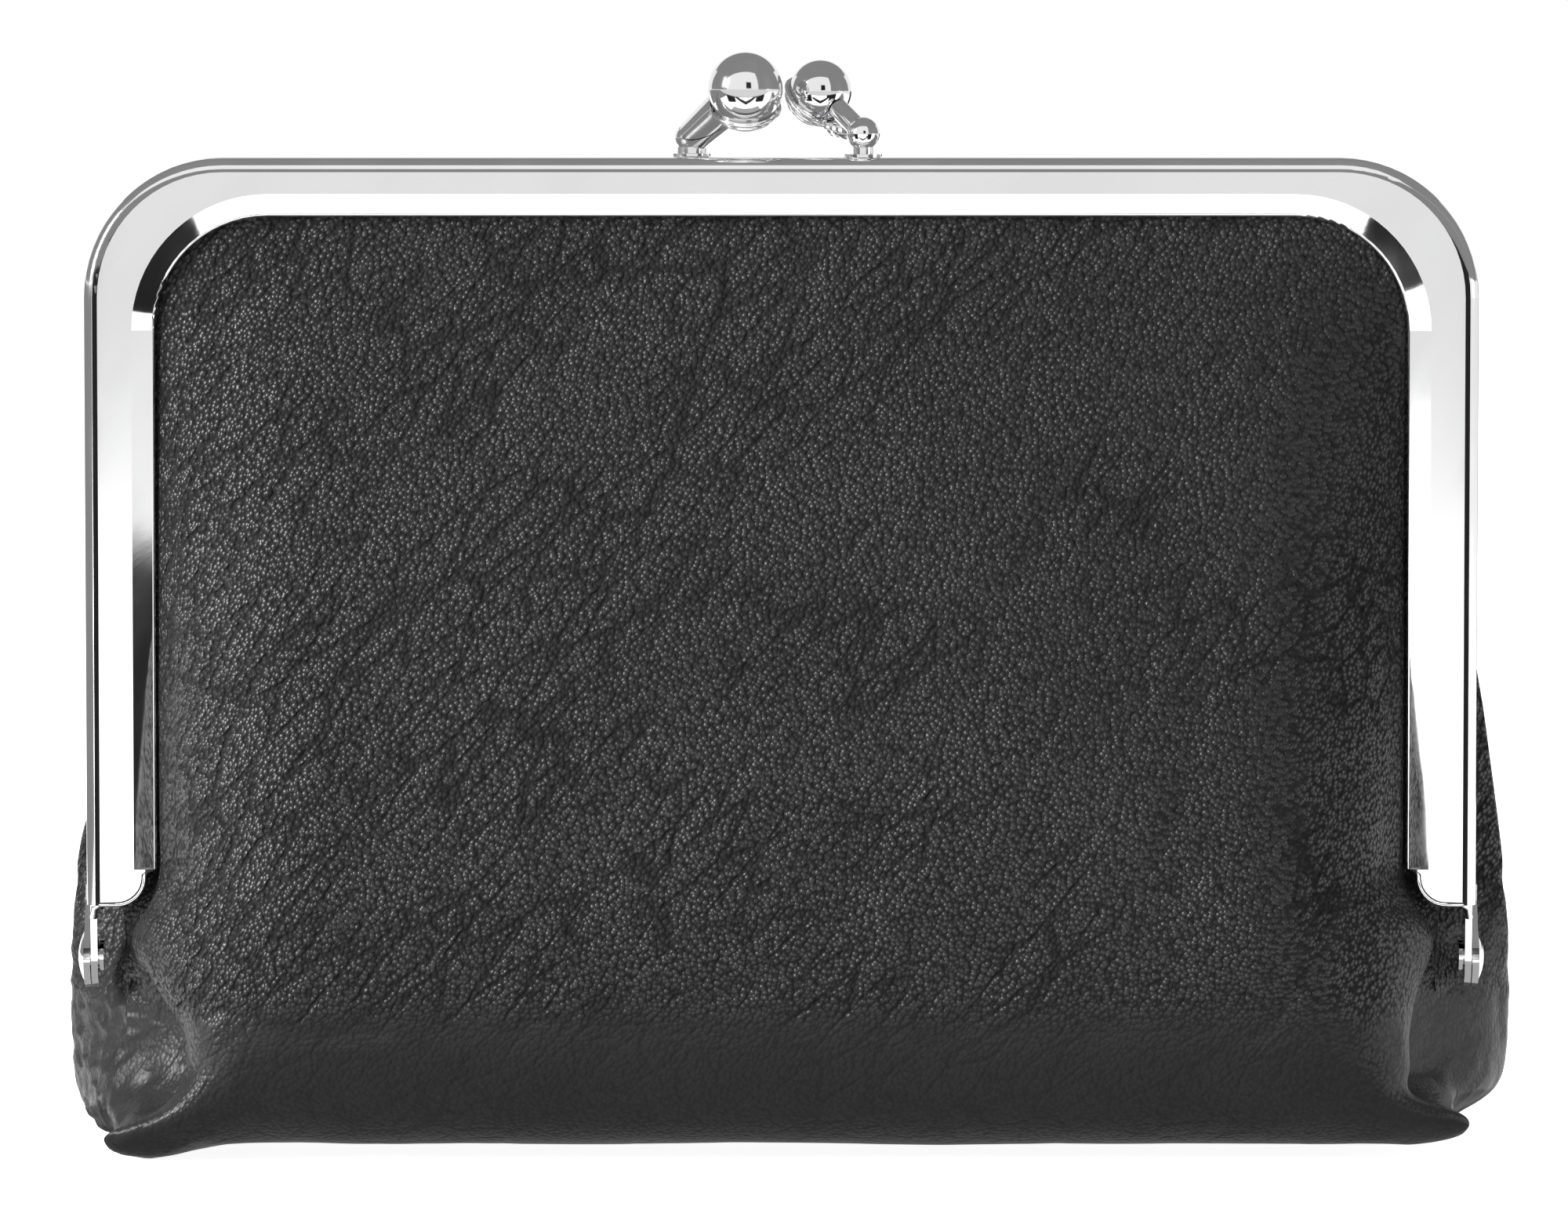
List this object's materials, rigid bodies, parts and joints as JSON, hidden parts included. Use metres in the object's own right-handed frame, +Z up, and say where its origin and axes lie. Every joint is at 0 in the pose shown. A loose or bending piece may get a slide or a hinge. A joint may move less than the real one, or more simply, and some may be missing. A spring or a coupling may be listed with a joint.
{
  "type": "framed cosmetic bag",
  "caption": "Small black leather cosmetic bag on a hinged chrome frame that opens like a mouth and snaps shut with two crossing balls.",
  "frame": {"origin": "under the middle of the hinge line, on the plane that the bag stands on", "axes": "+Z up, -Y towards the front of the closed bag, +X to the right seen from the front, along the hinge line"},
  "size_m": [0.1316, 0.034, 0.1006],
  "materials": {
    "chrome": "polished",
    "leather": "soft, fine pebbled grain",
    "lining": "plain weave",
    "paper": "twisted paper cord"
  },
  "bodies": {
    "pouch": {"base_leather": "leather", "base_lining": "lining", "left_corner_fold": "leather", "right_corner_fold": "leather", "left_hinge_rivet": "chrome", "right_hinge_rivet": "chrome"},
    "front_jaw": {"front_frame": "chrome", "front_clasp_arm": "chrome", "front_clasp_ball": "chrome", "front_channel_cord": "paper", "front_leather": "leather", "front_lining": "lining"},
    "rear_jaw": {"rear_frame": "chrome", "rear_clasp_arm": "chrome", "rear_clasp_ball": "chrome", "rear_channel_cord": "paper", "rear_leather": "leather", "rear_lining": "lining"}
  },
  "joints": [
    {"name": "front_opening", "type": "hinge", "parent": "pouch", "child": "front_jaw", "pos_m": [0, 0, 0.0177], "axis": [1, 0, 0], "range_deg": [0, 45]},
    {"name": "rear_opening", "type": "hinge", "parent": "pouch", "child": "rear_jaw", "pos_m": [0, 0, 0.0177], "axis": [1, 0, 0], "range_deg": [-45, 0]}
  ],
  "couplings": [
    {"joint": "rear_opening", "follows": "front_opening", "ratio": -1}
  ]
}
